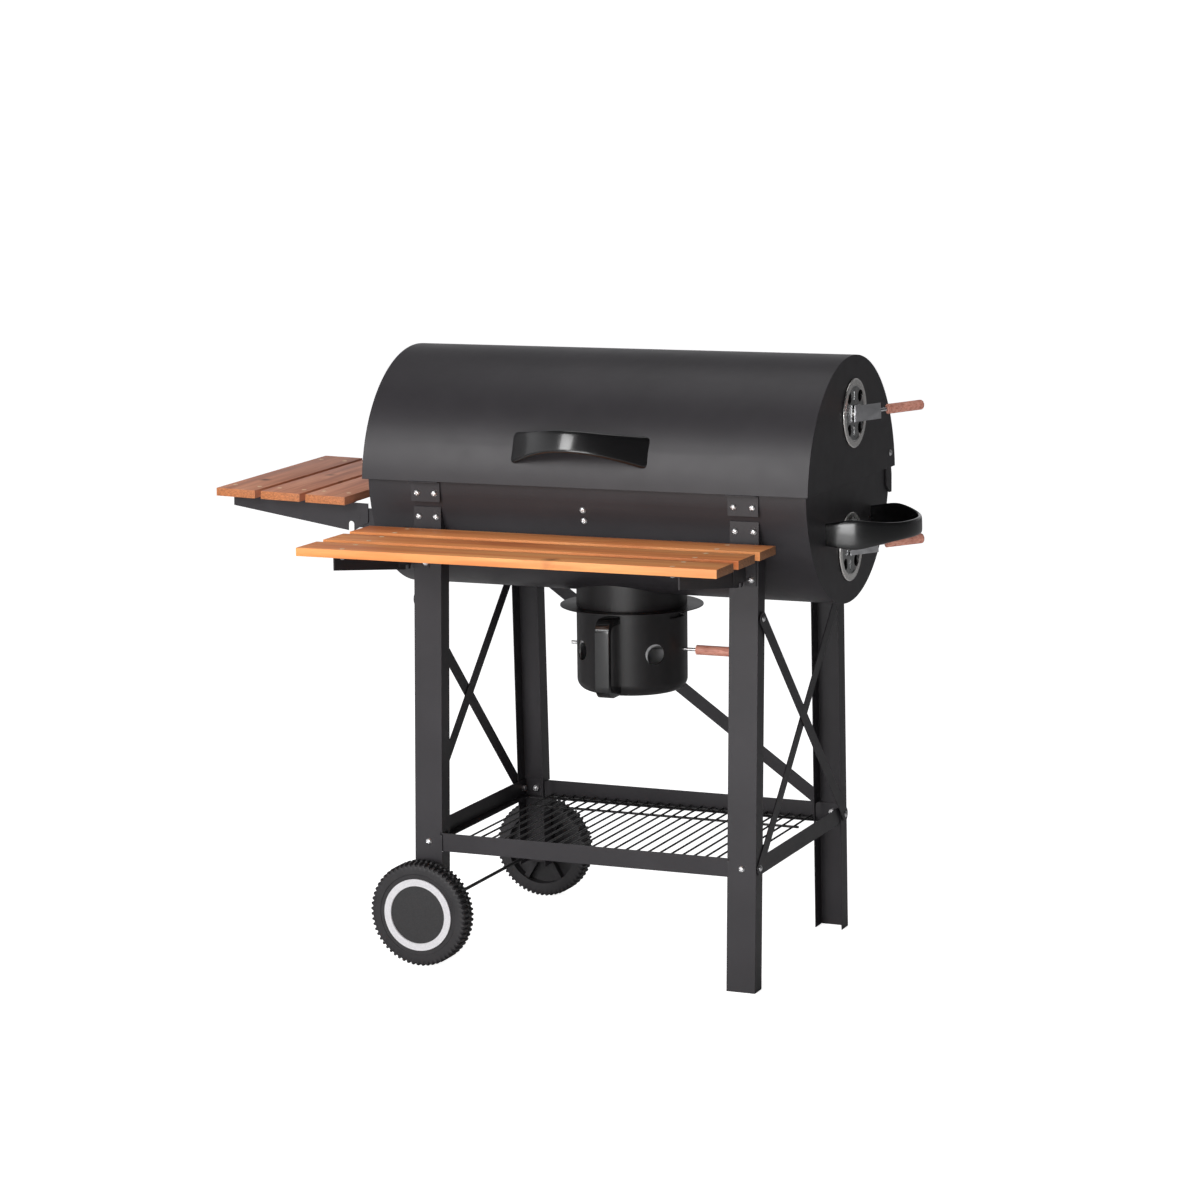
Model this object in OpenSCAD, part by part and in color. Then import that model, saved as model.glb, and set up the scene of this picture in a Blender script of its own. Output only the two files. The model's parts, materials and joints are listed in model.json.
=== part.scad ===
// Barrel charcoal grill on an angle-iron stand, with wooden front and side
// shelves, two wheels and an ash pot. X runs along the barrel, +Y to the back, Z up.

/* [Lid] */
// Outer radius of the lid's curved sheet
lid_r = 227; // [222:0.5:232]
// Height of the top of the lid above the ground
total_h = 1050; // [1046:0.5:1054]
// Outer length of the lid
lid_len = 810; // [806:1:814]
// Height of the seam between the lid and the bowl
seam_z = 837; // [835:0.5:839]
// Sheet thickness of the lid, the bowl and the stand
sheet = 1.5; // [1.4:0.1:1.6]
// Y of the lid hinge pins
hinge_y = 199; // [197:0.5:201]
// Z of the lid hinge pins
hinge_z = 862.5; // [861:0.5:864]

/* [Bowl] */
// Outer radius of the bowl's curved sheet
bowl_r = 216; // [215:0.5:216.5]
// Outer length of the bowl
bowl_len = 796; // [794:1:797]
// Height of the lowest line of the bowl
bowl_bottom = 630; // [629.5:0.5:631]
// Height of the cooking grate's lower face
grate_z = 800; // [796:1:804]
// Height of the charcoal grate's lower face
coal_z = 716; // [710:1:722]

/* [Stand] */
// Distance from the barrel's middle to the middle of each leg
leg_x = 289; // [287:0.5:290]
// Width of a leg's web
leg_w = 51; // [50:0.5:52]
// Depth of a leg's side flanges
leg_d = 32; // [30:0.5:33]
// Height of the leg tops
leg_top = 792; // [790:0.5:793]
// Y of the outer face of the legs at the ground
leg_foot_y = 239; // [238:0.5:240]
// How far the legs lean out, in millimetres over the height of one metre
leg_lean = 35.5; // [35:0.5:36]
// Top of the bottom rails
rail_top = 226; // [224:1:228]
// Height of the bottom rails
rail_h = 32; // [30:1:33]
// Width of the flat brace bars
brace_w = 24; // [20:1:26]
// Height of the upper brace bolts
brace_top = 630; // [626:1:634]

/* [Wheels] */
// Radius of the wheels
wheel_r = 91; // [88:0.5:92]
// Width of the wheels
wheel_w = 38; // [36:1:40]
// Radius of the axle
axle_r = 3; // [3:0.25:3.5]

/* [Front shelf] */
// Height of the front shelf's top face
front_top = 759; // [757:0.5:760]
// Length of the front shelf's boards
front_len = 740; // [730:1:750]
// X of the middle of the front shelf
front_mid = -14; // [-15:0.5:-13]
// Y of the back edge of the front shelf
front_back = -244; // [-246:0.5:-243]
// Width of one shelf board
board_w = 74; // [72:0.5:75]
// Width of one side shelf board
side_board_w = 76; // [74:0.5:77]
// Thickness of one shelf board
board_t = 14; // [13:0.5:15]
// Gap between the front boards
front_gap = 23; // [20:0.5:24]

/* [Side shelf] */
// Height of the side shelf's top face
side_top = 807; // [805:0.5:808]
// Length of the side shelf's boards
side_len = 414; // [408:1:418]
// Y of the middle of the side shelf
side_mid = -15; // [-17:1:-13]
// X of the inner edge of the side shelf
side_inner = -442.5; // [-444:0.5:-441]
// Gap between the side boards
side_gap = 11.5; // [11:0.5:13]
// Upward slope of the side shelf towards its outer edge
side_slope = 1.45; // [0:0.05:1.5]
// Upward slope of the side shelf towards its back end
side_skew = 1.15; // [0:0.05:1.2]

/* [Ash pot] */
// Outer radius of the ash pot
pot_r = 96.5; // [96:0.5:97]
// Height of the pot's rim
pot_top = 604; // [603:0.5:605]
// Height of the pot's floor
pot_bottom = 458; // [457:0.5:460]
// Radius of the brim above the pot
brim_r = 125; // [122:1:127]
// Height of the pot's air holes and of the damper rod
port_z = 532; // [530:0.5:534]
// Radius of the pot's air holes
port_r = 17.5; // [16:0.5:17.5]

/* [Vents] */
// Radius of a vent disc
vent_r = 59; // [57:0.5:60]
// Height of the lid vent
lid_vent_z = 952; // [950:1:954]
// Height of the bowl vent
bowl_vent_z = 725; // [724:0.5:726]
// Y of both vents
vent_y = 5; // [3:0.5:7]
// Angle of the lid vent's lever away from the barrel's axis
lid_lever_angle = 50; // [45:1:52]
// Angle of the bowl vent's lever away from the barrel's axis
bowl_lever_angle = 42; // [40:1:46]
// Upward tilt of a vent lever
lever_rise = 3; // [0:0.5:4]
// Radius of a wooden grip
grip_r = 8.5; // [8:0.25:9]
// Length of a wooden grip
grip_len = 69; // [66:1:70]

/* [Handles] */
// Half the span of the lid handle
lid_handle_half = 127; // [124:1:130]
// X of the middle of the lid handle
lid_handle_x = -3; // [-5:0.5:0]
// How far the lid handle stands off the lid
lid_handle_rise = 66; // [62:1:68]
// Half the span of the bowl handle
bowl_handle_half = 121; // [119:0.5:122]
// How far the bowl handle stands off the bowl
bowl_handle_rise = 123; // [118:0.5:125]
// Angle of the lid handle above the horizontal
lid_handle_angle = 19.6; // [18:0.2:21]
// Height of the bowl handle's feet
handle_z = 761.5; // [760:0.5:763]
// Upward tilt of the bowl handle
handle_rise_angle = 1.6; // [0:0.2:3]

/* [Hidden] */
$fn = 96;

black = [0.2, 0.19, 0.2];
gloss = [0.05, 0.05, 0.055];
zinc = [0.8, 0.8, 0.82];
wood = [0.75, 0.47, 0.3];
grip_wood = [0.7, 0.42, 0.36];

lid_half = lid_len / 2;
lid_zc = total_h - lid_r;
bowl_half = bowl_len / 2;
bowl_zc = bowl_bottom + bowl_r;
bowl_front_top = seam_z + 13;      // the front wall stands up inside the lid
bowl_rear_top = seam_z - 12;       // the rear wall stays below the opening lid
clear = 0.3;                       // gap between bodies that only pass each other
m6_r = 3;
m6_hole = 3.2;
fit = 0.06;                        // radial clearance of a running fit

lean = atan(leg_lean / 1000);
axle_x = -leg_x;
axle_z = wheel_r;
short_leg = axle_z - 24;
bolt_dx = 16.3;                    // half the spacing of a pair of bolts on a leg
leg_bolt_z = 775;
rest_bolt_z = 816;
rail_mid = rail_top - rail_h / 2;
flange_bolt = leg_d / 2;
back_brace_top = brace_top - 2;

wheel_in = leg_foot_y + 4;         // Y of a wheel's inner face
wheel_out = wheel_in + wheel_w;
cap_proud = 1;

front_arm_x = [front_mid - 304, front_mid + 304];
front_pivot_y = -257;
front_pivot_z = 712;
side_arm_y = [side_mid - 175, side_mid + 175];
side_pivot_x = -430;
side_pivot_z = 767;
arm_t = 2;
arm_flange = 20;

// The model's box, which puts its origin at the middle of its base
x_min = side_pivot_x - (side_pivot_x - side_inner + 3 * side_board_w + 2 * side_gap) * cos(side_slope)
    + (side_top - board_t - side_pivot_z) * sin(side_slope);
x_max = bowl_half + bowl_handle_rise * cos(handle_rise_angle) + 14.5 * sin(handle_rise_angle);
y_min = front_back - 3 * board_w - 2 * front_gap;
y_max = wheel_out + cap_proud;
origin = [-(x_min + x_max) / 2, -(y_min + y_max) / 2, 0];

// Y of the outer face of a front leg at height z
function leg_y(z) = -(leg_foot_y - z * leg_lean / 1000);

// ---- helpers ---------------------------------------------------------------

module cyl_x(r, x0, x1) {
    translate([x0, 0, 0]) rotate([0, 90, 0]) cylinder(r = r, h = x1 - x0);
}

module cyl_y(r, y0, y1) {
    translate([0, y0, 0]) rotate([-90, 0, 0]) cylinder(r = r, h = y1 - y0);
}

module box(x0, x1, y0, y1, z0, z1) {
    translate([x0, y0, z0]) cube([x1 - x0, y1 - y0, z1 - z0]);
}

// A rectangle with round corners, from its lower left corner
module round_rect(w, h, r) {
    translate([r, 0]) square([w - 2 * r, h]);
    translate([0, r]) square([w, h - 2 * r]);
    for (x = [r, w - r], y = [r, h - r]) translate([x, y]) circle(r = r);
}

// Children drawn in the (y, z) plane become a plate from x0 to x1
module plate_yz(x0, x1) {
    translate([x0, 0, 0]) rotate([90, 0, 90]) linear_extrude(x1 - x0) children();
}

// Children drawn in the (x, z) plane become a plate from y0 to y1
module plate_xz(y0, y1) {
    translate([0, y1, 0]) rotate([90, 0, 0]) linear_extrude(y1 - y0) children();
}

// Turns a front part round to the back of the stand
module to_back() {
    mirror([0, 1, 0]) children();
}

// Places children on the leaning outer face of a front leg, at height z
module on_leg(x, z) {
    translate([x, leg_y(z), z]) rotate([-lean, 0, 0]) children();
}

// A round-headed bolt along +Y, its head's seat at y = 0, its shank `grip` long
module bolt_y(grip) {
    rotate([-90, 0, 0]) rotate_extrude() bolt_profile(grip);
}

module bolt_profile(grip) {
    difference() {
        translate([0, 3]) circle(r = 6.6, $fn = 48);
        translate([-10, -10]) square([10, 30]);
        translate([-10, 0]) square([20, 20]);
        translate([5.8, -10]) square([5, 30]);
    }
    square([m6_r, grip]);
}

// A hexagonal nut along +Y from y = 0
module nut_y() {
    rotate([-90, 0, 0]) difference() {
        cylinder(r = 5.8, h = 5, $fn = 6);
        translate([0, 0, -1]) cylinder(r = m6_r, h = 7);
    }
}

// ---- lid -------------------------------------------------------------------

module lid() {
    color(black) difference() {
        translate([0, 0, lid_zc]) cyl_x(lid_r, -lid_half, lid_half);
        translate([0, 0, lid_zc]) cyl_x(lid_r - sheet, -lid_half + sheet, lid_half - sheet);
        box(-lid_half - 1, lid_half + 1, -lid_r - 1, lid_r + 1, lid_zc - lid_r - 1, seam_z);
        // notches that let the hinge plates through the rear wall
        for (s = [-1, 1]) hinge_notch(s);
        for (s = [-1, 1]) translate([s * lid_half, hinge_y, hinge_z]) cyl_x(m6_r + fit, -3, 3);
        translate([0, vent_y, lid_vent_z]) vent_ports(lid_half);
        lid_handle_place() for (s = [-1, 1]) translate([s * (lid_handle_half - 14), 0, 0])
            cyl_y(2.6, -3, 6);
    }
}

module hinge_notch(side) {
    x0 = bowl_half - 10;
    x1 = lid_half - sheet;
    mirror([side < 0 ? 1 : 0, 0, 0]) box(x0, x1, hinge_y - 19, lid_r + 1, seam_z - 1, hinge_z + 43);
}

module lid_handle_place() {
    translate([lid_handle_x, 0, lid_zc]) rotate([-lid_handle_angle, 0, 0])
        translate([0, -lid_r, 0]) children();
}

// The outline of a bowed strap: y = 0 at its feet and -rise in the middle
function bow(half, rise, power, steps) = [for (i = [0:steps])
    let (x = half * (2 * i / steps - 1)) [x, -rise * pow(cos(90 * x / half), power)]];

module bow_band(half, rise, power, thick, steps) {
    difference() {
        polygon(concat(bow(half, rise, power, steps), [[half, 6], [-half, 6]]));
        polygon(concat(bow(half - thick, rise - thick, power, steps),
            [[half - thick, 8], [-half + thick, 8]]));
    }
}

// The strap seen from its front: tall at its feet, waisted in the middle
module waist(half, foot_h, mid_h, power) {
    steps = 20;
    upper = [for (i = [0:steps]) let (u = 2 * i / steps - 1)
        [half * u, mid_h / 2 + (foot_h - mid_h) / 2 * pow(abs(u), power)]];
    lower = [for (i = [steps:-1:0]) [upper[i][0], -upper[i][1]]];
    polygon(concat(upper, lower));
}

module strap(half, rise, power, thick, foot_h, mid_h, waist_power) {
    intersection() {
        translate([0, 0, -foot_h]) linear_extrude(2 * foot_h) bow_band(half, rise, power, thick, 40);
        plate_xz(-rise - 1, 10) waist(half, foot_h, mid_h, waist_power);
    }
}

module lid_handle() {
    color(gloss) {
        difference() {
            lid_handle_place() {
                strap(lid_handle_half, lid_handle_rise, 1.25, 4, 56, 33, 2);
                for (s = [-1, 1]) translate([s * (lid_handle_half - 14), 0, 0])
                    box(-11, 11, -3, 4, -17, 17);
            }
            translate([0, 0, lid_zc]) cyl_x(lid_r + 0.15, -lid_half, lid_half);
        }
        lid_handle_place() for (s = [-1, 1]) translate([s * (lid_handle_half - 14), 0, 0])
            cyl_y(2.5, -2, 8);
    }
}

// ---- bowl ------------------------------------------------------------------

module bowl() {
    color(black) difference() {
        union() {
            bowl_shell();
            for (s = [-1, 1]) grate_lip(s);
        }
        // leg bolts and lid rest bolts
        for (b = [0, 1], s = [-1, 1], d = [-1, 1]) mirror([0, b, 0]) {
            on_leg(s * leg_x + d * bolt_dx, leg_bolt_z) cyl_y(m6_hole, 0, 20);
        }
        for (s = [-1, 1], d = [-1, 1])
            translate([s * leg_x + d * bolt_dx, 0, rest_bolt_z]) cyl_y(m6_hole, -220, -200);
        for (b = [0, 1], a = bar_bolt_angle) mirror([0, b, 0])
            on_wall(0, a) cyl_y(m6_hole, -5, 5);
        for (s = [-1, 1], x = hinge_tab_bolts) translate([s * x, 0, hinge_tab_z])
            cyl_y(m6_hole, 190, 220);
        translate([0, 0, bowl_bottom - 5]) cylinder(r = pot_r - 8, h = 30);
        translate([0, vent_y, bowl_vent_z]) vent_ports(bowl_half);
        for (s = [-1, 1]) translate([bowl_half, s * (bowl_handle_half - 12), handle_z])
            cyl_x(2.6, -5, 5);
        side_level() for (y = side_plate_bolts, z = side_bolt_z) translate([-bowl_half, y, z])
            cyl_x(m6_hole, -5, 5);
    }
}

// Places children on the bowl's front wall, `a` degrees below its middle line
module on_wall(x, a) {
    translate([x, 0, bowl_zc]) rotate([a, 0, 0]) translate([0, -bowl_r, 0]) children();
}

module bowl_shell() {
    difference() {
        translate([0, 0, bowl_zc]) cyl_x(bowl_r, -bowl_half, bowl_half);
        translate([0, 0, bowl_zc]) cyl_x(bowl_r - sheet, -bowl_half + sheet, bowl_half - sheet);
        box(-bowl_half - 1, bowl_half + 1, -bowl_r - 1, bowl_r + 1, bowl_front_top, 1200);
        box(-bowl_half + sheet, bowl_half - sheet, hinge_y - 24, bowl_r + 1, bowl_rear_top, 1200);
    }
}

// A ledge on the end panel that carries the outer ends of the cooking grates
module grate_lip(side) {
    mirror([side < 0 ? 1 : 0, 0, 0])
        box(bowl_half - 14, bowl_half - sheet + 0.1, -150, 150, grate_z - 2, grate_z);
}

bar_bolt_angle = [18, 12.8];
hinge_tab_bolts = [372, 388];
hinge_tab_z = 808;

module bowl_handle() {
    color(gloss) translate([bowl_half, 0, handle_z]) {
        intersection() {
            rotate([0, -handle_rise_angle, 0]) rotate([0, 0, 90])
                strap(bowl_handle_half, bowl_handle_rise, 0.36, 4.5, 58, 29, 4);
            box(0, 200, -200, 200, -50, 50);
        }
        for (s = [-1, 1]) translate([0, s * (bowl_handle_half - 12), 0]) {
            box(0, 3, -10, 10, -18, 18);
            cyl_x(2.5, -6, 1);
        }
    }
}

module lid_rest(side) {
    x0 = side * leg_x - leg_w / 2 - 1.5;
    x1 = side * leg_x + leg_w / 2 + 1.5;
    y0 = -bowl_r - 2;
    color(black) difference() {
        union() {
            box(x0, x1, y0, y0 + sheet, rest_bolt_z - 15, seam_z - clear);
            box(x0, x1, y0 - 11, y0 + sheet, seam_z - clear - sheet, seam_z - clear);
        }
        for (d = [-1, 1]) translate([side * leg_x + d * bolt_dx, 0, rest_bolt_z])
            cyl_y(m6_hole, y0 - 2, y0 + 4);
    }
}

// A plate from the bowl's rear wall round to the lid's hinge pin
module hinge_plate(side) {
    y0 = bowl_r + 0.6;
    t = 2.5;
    x0 = bowl_half + 1;
    color(black) mirror([side < 0 ? 1 : 0, 0, 0]) difference() {
        union() {
            box(360, x0 + t, y0, y0 + t, 792, bowl_rear_top - 1);
            plate_yz(x0, x0 + t) {
                polygon([[hinge_y - 9, hinge_z], [hinge_y - 7, 806], [y0 - 8, 792], [y0 + t, 792],
                    [y0 + t, 824], [hinge_y + 11, hinge_z]]);
                translate([hinge_y, hinge_z]) circle(r = 11);
            }
        }
        translate([x0, hinge_y, hinge_z]) cyl_x(m6_r, -1, 5);
        for (x = hinge_tab_bolts) translate([x, 0, hinge_tab_z]) cyl_y(m6_hole, y0 - 2, y0 + 6);
    }
}

// A bar across the middle of the bowl that carries the inner ends of the cooking grates
module grate_bar() {
    mid = (bar_bolt_angle[0] + bar_bolt_angle[1]) / 2;
    color(black) difference() {
        union() {
            box(-15, 15, -207, 207, grate_z - 2, grate_z);
            box(-1, 1, -204, 204, grate_z - 18, grate_z - 1);
            for (b = [0, 1]) mirror([0, b, 0]) on_wall(0, mid) box(-15, 15, 2.4, 4.4, -15, 15);
        }
        for (b = [0, 1], a = bar_bolt_angle) mirror([0, b, 0]) on_wall(0, a) {
            cyl_y(m6_hole, 0, 12);
            cyl_y(7, 4.5, 16);
        }
    }
}

// ---- vents -----------------------------------------------------------------

// Four round ports and the pivot hole, cut through an end panel at x
module vent_ports(x) {
    translate([x, 0, 0]) {
        cyl_x(m6_r + fit, -5, 5);
        for (a = [45:90:315]) rotate([a, 0, 0]) translate([0, 38, 0]) cyl_x(10, -5, 5);
    }
}

// A pressed disc with a raised rim, facing +X, that turns on its own pivot stud
module vent_disc(x, z) {
    color(zinc) translate([x + clear, vent_y, z]) difference() {
        union() {
            rotate([0, 90, 0]) rotate_extrude() vent_profile();
            for (a = [0, 180]) rotate([a, 0, 0]) translate([0, 0, 29]) vent_rib();
            cyl_x(m6_r, -sheet - clear - 3, 1);
            cyl_x(7, -sheet - clear - 3, -sheet - clear - 0.2);
        }
        for (a = [45:90:315]) rotate([a, 0, 0]) translate([0, 38, 0]) cyl_x(10, -2, 10);
    }
}

module vent_profile() {
    square([50, 1.4]);
    translate([47, 0]) square([vent_r - 49, 3]);
    translate([vent_r - 2, 1.6]) circle(r = 1.6, $fn = 32);
    translate([47, 1.5]) circle(r = 1.5, $fn = 32);
    translate([0, 1]) square([8, 2]);
}

// A pressed rib on the disc, rounded at both ends
module vent_rib() {
    translate([0.9, 0, 0]) rotate([90, 0, 90]) linear_extrude(1.4) {
        translate([-3, -6]) square([6, 14]);
        for (z = [-6, 8]) translate([0, z]) circle(r = 3, $fn = 32);
    }
}

// Lays children, drawn along +X, along a vent's lever
module along_lever(x, z) {
    angle = z > seam_z ? lid_lever_angle : bowl_lever_angle;
    translate([x + 3.4, vent_y, z]) rotate([0, -lever_rise, angle]) children();
}

module vent_lever(x, z) {
    color(zinc) {
        along_lever(x, z) {
            box(-2.6, 47, -4.6, -2.7, -14, 13);
            cyl_x(m6_r, 5, 76);
            cyl_x(4.3, 6, 15);
            box(30, 36, -4, 1, -4, 4);
        }
        translate([x + 3.4, vent_y + 1, z]) box(0, 1.5, -8, 20, -14.5, 13.5);
    }
}

module vent_grip(x, z) {
    color(grip_wood) along_lever(x, z) translate([63, 0, 0]) wood_grip(13.5);
}

// A turned wooden grip along +X with a domed end and a blind hole for its rod
module wood_grip(bore) {
    difference() {
        union() {
            cyl_x(grip_r, 0, grip_len - 4);
            rotate([0, 90, 0]) rotate_extrude() {
                translate([0, grip_len - 8]) square([grip_r - 4, 8]);
                translate([grip_r - 4, grip_len - 4]) circle(r = 4, $fn = 40);
            }
        }
        cyl_x(m6_r, -1, bore);
    }
}

// ---- ash pot ---------------------------------------------------------------

// The collar under the bowl, its brim, and a spigot with two bayonet studs
module ash_collar() {
    color(black) {
        difference() {
            translate([0, 0, pot_top + 1.5]) cylinder(r = pot_r, h = 60);
            translate([0, 0, pot_top]) cylinder(r = pot_r - sheet, h = 70);
            translate([0, 0, bowl_zc]) cyl_x(bowl_r + 0.05, -200, 200);
        }
        difference() {
            union() {
                translate([0, 0, pot_top + 1.5]) cylinder(r = brim_r, h = sheet);
                translate([0, 0, pot_top - 20]) cylinder(r = pot_r - 5, h = 22);
            }
            translate([0, 0, pot_top - 30]) cylinder(r = pot_r - 5 - sheet, h = 60);
        }
        for (s = [-1, 1]) translate([0, 0, pot_top - 10])
            cyl_x(2.9, min(s * (pot_r - 6), s * (pot_r + 2)), max(s * (pot_r - 6), s * (pot_r + 2)));
    }
}

twist = 22; // how far the pot turns off its bayonet studs

module ash_pot() {
    wall = 1.5;
    round_r = 20;
    color(black) difference() {
        rotate_extrude() difference() {
            pot_outline(pot_r, pot_bottom, round_r);
            pot_outline(pot_r - wall, pot_bottom + wall, round_r - wall);
            translate([-1, pot_top]) square([200, 400]);
        }
        for (a = [46.5:90:316.5]) rotate([0, 0, a]) translate([0, 0, port_z])
            cyl_x(port_r, pot_r - 12, pot_r + 6);
        translate([0, 0, port_z]) cyl_x(m6_r + fit, -pot_r - 5, pot_r + 5);
        for (a = [0, 180]) rotate([0, 0, a]) bayonet_slot();
        for (z = pot_handle_z) translate([5, 0, z]) cyl_y(2.6, -pot_r - 3, -pot_r + 6);
    }
}

module pot_outline(r, z0, corner) {
    translate([0, z0 + corner]) square([r, 200]);
    translate([0, z0]) square([r - corner, 100]);
    translate([r - corner, z0 + corner]) circle(r = corner);
}

// An L-shaped slot: in from the rim, then along by the twist
module bayonet_slot() {
    translate([0, 0, pot_top - 13.5]) rotate([0, 0, -twist - 3]) rotate_extrude(angle = twist + 6)
        translate([pot_r - 10, 0]) square([20, 7]);
    translate([0, 0, pot_top - 13.5]) rotate([0, 0, -twist - 3]) rotate_extrude(angle = 6)
        translate([pot_r - 10, 0]) square([20, 20]);
}

// A bright inner sleeve whose ports sit a little off the pot's own
module ash_pot_liner() {
    r = pot_r - 2;
    color(zinc) difference() {
        translate([0, 0, pot_bottom + 22]) cylinder(r = r, h = 100);
        translate([0, 0, pot_bottom + 10]) cylinder(r = r - 0.8, h = 130);
        for (a = [46.5:90:316.5]) rotate([0, 0, a + 2.4]) translate([0, 0, port_z - 3.5])
            cyl_x(port_r, pot_r - 12, pot_r + 6);
        translate([0, 0, port_z]) cyl_x(m6_r + fit, -pot_r - 5, pot_r + 5);
    }
}

pot_handle_z = [468, 592];

// A D-shaped loop on the front of the pot, a little to the right of its middle
module ash_pot_handle() {
    w = 25;
    x = 5;
    y_out = -pot_r - 52;
    color(gloss) {
        difference() {
            plate_yz(x - w / 2, x + w / 2) translate([y_out, 463]) difference() {
                round_rect(-pot_r - y_out + 12, 137, 22);
                translate([11, 14]) round_rect(-pot_r - y_out + 20, 110, 14);
            }
            translate([0, 0, 400]) cylinder(r = pot_r + 0.1, h = 250);
        }
        for (z = pot_handle_z) translate([x, 0, z]) cyl_y(2.5, -pot_r - 4, -pot_r + 1.3);
    }
}

module damper() {
    color(zinc) translate([0, 0, port_z]) {
        cyl_x(m6_r, -pot_r - 18.5, 138);
        difference() {
            intersection() {
                cyl_y(88, -0.8, 0.8);
                box(-90, 90, -2, 2, -66, 66);
            }
            cyl_x(m6_r - 0.5, -96, 96);
        }
        for (s = [-1, 1]) translate([s * 30, 0, 0]) box(-4, 4, -3.4, 3.4, -1.2, 1.2);
    }
}

module damper_grip() {
    color(grip_wood) translate([121, 0, port_z]) wood_grip(17.5);
}

// ---- stand -----------------------------------------------------------------

// A U-channel leg: web to the front, flanges to the back, leaning outwards
module leg(side, z0, front) {
    x = side * leg_x;
    difference() {
        on_leg(x, 0) difference() {
            box(-leg_w / 2, leg_w / 2, 0, leg_d, -20, leg_top);
            box(-leg_w / 2 + sheet, leg_w / 2 - sheet, sheet, leg_d + 1, -21, leg_top + 1);
        }
        box(-400, 400, -400, 400, -50, z0);
        box(-400, 400, -400, 0, leg_top, 900);
        translate([0, 0, bowl_zc]) cyl_x(bowl_r + clear, -bowl_half, bowl_half);
        // the bottom rail passes the inner flange
        inner = x - side * leg_w / 2;
        box(inner - 3, inner + 3, leg_y(rail_mid) - 1 + sheet, leg_y(rail_mid) + 25,
            rail_top - rail_h - 1, rail_top + 1);
        on_leg(x, rail_mid) cyl_y(m6_hole, -5, 5);
        for (d = [-1, 1]) on_leg(x + d * bolt_dx, leg_bolt_z) cyl_y(m6_hole, -5, 5);
        for (z = [rail_mid, brace_top]) translate([x + side * leg_w / 2, leg_y(z) + flange_bolt, z])
            cyl_x(m6_hole, -4, 4);
        if (front) translate([ear_bolt_x(side), 0, ear_bolt_z]) cyl_y(m6_hole, -230, -200);
        if (!front && side < 0) on_leg(x, back_brace_top) cyl_y(m6_hole, -5, 5);
        if (side < 0) translate([axle_x, 0, axle_z]) cyl_y(axle_r + 0.2, -250, -200);
    }
}

function ear_bolt_x(side) = front_ear_x(side) + (side < 0 ? 25 : 11.5);
function front_ear_x(side) = side < 0 ? front_arm_x[0] + arm_t / 2 + clear
    : front_arm_x[1] + arm_t / 2 + clear;
ear_bolt_z = 696;

module leg_front_left() { color(black) leg(-1, short_leg, true); }
module leg_front_right() { color(black) leg(1, 0, true); }
module leg_rear_left() { color(black) to_back() leg(-1, short_leg, false); }
module leg_rear_right() { color(black) to_back() leg(1, 0, false); }

// An angle rail behind the webs of two legs, its flange inwards at the bottom
module long_rail() {
    y0 = leg_y(rail_top) + sheet + clear;
    z0 = rail_top - rail_h;
    x1 = leg_x + leg_w / 2 - sheet - 4;
    difference() {
        union() {
            box(-x1, x1, y0, y0 + sheet, z0, rail_top);
            box(-x1, x1, y0, y0 + 20, z0, z0 + sheet);
        }
        for (s = [-1, 1]) translate([s * leg_x, 0, rail_mid]) cyl_y(m6_hole, y0 - 2, y0 + 4);
    }
}

module front_rail() { color(black) long_rail(); }
module rear_rail() { color(black) to_back() long_rail(); }

// An angle rail along the inside of the outer flanges
module side_rail() {
    x1 = leg_x + leg_w / 2 - sheet - clear;
    y1 = -leg_y(rail_top) - 2 * sheet - 2 * clear;
    z0 = rail_top - rail_h + 2;
    difference() {
        union() {
            box(x1 - sheet, x1, -y1, y1, z0, rail_top);
            box(x1 - 18, x1, -y1 + 20, y1 - 20, z0, z0 + sheet);
        }
        for (b = [-1, 1]) translate([x1, b * (leg_y(rail_mid) + flange_bolt), rail_mid])
            cyl_x(m6_hole, -4, 4);
    }
}

module side_rail_left() { color(black) mirror([1, 0, 0]) side_rail(); }
module side_rail_right() { color(black) side_rail(); }

// The wire rack that lies on the rails' flanges
module bottom_rack() {
    pitch = 21;
    wire = 1.75;
    bar = 2.25;
    z_bar = rail_top - rail_h + sheet + bar + 0.5;
    z_wire = z_bar + bar + wire - 0.4;
    color(black) {
        for (i = [-12:12]) translate([i * pitch, 0, z_wire]) cyl_y(wire, -220, 220);
        for (y = [-214, -138, 138, 214]) translate([0, y, z_bar]) cyl_x(bar, -257, 257);
    }
}

// A flat bar with round ends and two holes, along +X from hole to hole
module flat_bar(length, t) {
    linear_extrude(t) difference() {
        union() {
            translate([0, -brace_w / 2]) square([length, brace_w]);
            for (x = [0, length]) translate([x, 0]) circle(r = brace_w / 2);
        }
        for (x = [0, length]) translate([x, 0]) circle(r = m6_hole);
    }
}

// A side brace on the right, from the front bolt's height z0 to the back bolt's z1
module side_brace(z0, z1, gap) {
    y0 = leg_y(z0) + flange_bolt;
    y1 = -leg_y(z1) - flange_bolt;
    length = norm([y1 - y0, z1 - z0]);
    translate([leg_x + leg_w / 2 + gap, y0, z0]) rotate([90, 0, 90])
        rotate([0, 0, atan2(z1 - z0, y1 - y0)]) flat_bar(length, sheet);
}

module brace_right_down() { color(black) side_brace(brace_top, rail_mid, 2 * clear + sheet); }
module brace_right_up() { color(black) side_brace(rail_mid, brace_top, clear); }
module brace_left_down() {
    color(black) mirror([1, 0, 0]) side_brace(brace_top, rail_mid, 2 * clear + sheet);
}
module brace_left_up() { color(black) mirror([1, 0, 0]) side_brace(rail_mid, brace_top, clear); }

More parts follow.
